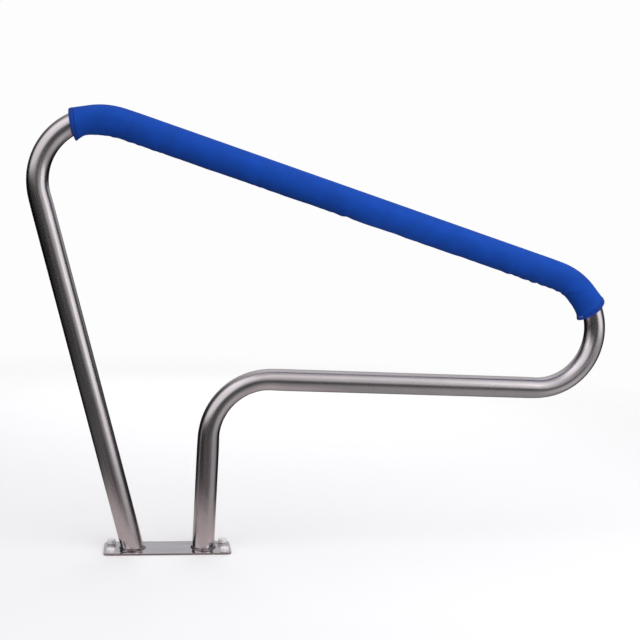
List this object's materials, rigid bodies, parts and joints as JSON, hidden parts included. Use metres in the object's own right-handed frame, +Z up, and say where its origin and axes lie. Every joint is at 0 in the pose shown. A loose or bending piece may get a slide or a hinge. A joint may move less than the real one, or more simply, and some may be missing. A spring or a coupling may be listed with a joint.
{
  "type": "pool handrail",
  "caption": "Closed-loop stainless pool handrail welded to a drilled base plate, with a zip-on fabric grip sleeve on the sloping top rail and lag screws, anchors and caps.",
  "frame": {"origin": "centre of the base plate's underside, on the deck", "axes": "+Z up from the deck; the loop lies in the XZ plane and its nose points along +X; the zip faces +Y"},
  "size_m": [1.2941, 0.09, 1.0231],
  "materials": {
    "satin_steel": "satin polished 304 stainless tube",
    "mirror_steel": "mirror polished 304 stainless plate",
    "weld_steel": "brushed TIG weld bead",
    "blue_neoprene": "royal blue jersey-faced neoprene, matt",
    "blue_hem": "royal blue folded hem with lockstitch",
    "zip_tape": "woven navy polyester tape",
    "zip_coil": "navy nylon coil",
    "zip_metal": "nickel-plated die casting",
    "screw_steel": "plain stainless, rolled thread",
    "blue_zinc": "bright blue zinc plating",
    "white_plastic": "moulded white nylon"
  },
  "bodies": {
    "rail": {"handrail_tube": "satin_steel", "base_plate": "mirror_steel", "leaning_leg_weld": "weld_steel", "upright_leg_weld": "weld_steel", "grip_sleeve": "blue_neoprene", "upper_hem": "blue_hem", "nose_hem": "blue_hem", "zip_tape_upper": "zip_tape", "zip_tape_lower": "zip_tape", "zip_coil_upper": "zip_coil", "zip_coil_lower": "zip_coil", "zip_top_stop_upper": "zip_metal", "zip_top_stop_lower": "zip_metal", "zip_retainer_box": "zip_metal", "zip_insertion_pin": "zip_metal", "lag_screw_1": "screw_steel", "lag_screw_2": "screw_steel", "lag_screw_3": "screw_steel", "lag_screw_4": "screw_steel", "anchor_1": "blue_zinc", "anchor_2": "blue_zinc", "anchor_3": "blue_zinc", "anchor_4": "blue_zinc"},
    "zip_slider": {"zip_slider": "zip_metal"},
    "zip_pull_tab": {"zip_pull_tab": "zip_metal"},
    "cap_1": {"screw_cap_1": "white_plastic"},
    "cap_2": {"screw_cap_2": "white_plastic"},
    "cap_3": {"screw_cap_3": "white_plastic"},
    "cap_4": {"screw_cap_4": "white_plastic"}
  },
  "joints": [
    {"name": "zip_slider_run", "type": "hinge", "parent": "rail", "child": "zip_slider", "pos_m": [0.82373, 0.02697, 0.50289], "axis": [0, -1, 0], "range_deg": [0, 40]},
    {"name": "zip_pull_hinge", "type": "hinge", "parent": "zip_slider", "child": "zip_pull_tab", "pos_m": [0.93332, 0.03251, 0.56664], "axis": [0.8551, 0.1461, 0.4974], "range_deg": [-2, 165]},
    {"name": "cap_1_lift", "type": "slide", "parent": "rail", "child": "cap_1", "axis": [0, 0, 1], "range_m": [0, 0.03]},
    {"name": "cap_2_lift", "type": "slide", "parent": "rail", "child": "cap_2", "axis": [0, 0, 1], "range_m": [0, 0.03]},
    {"name": "cap_3_lift", "type": "slide", "parent": "rail", "child": "cap_3", "axis": [0, 0, 1], "range_m": [0, 0.03]},
    {"name": "cap_4_lift", "type": "slide", "parent": "rail", "child": "cap_4", "axis": [0, 0, 1], "range_m": [0, 0.03]}
  ]
}
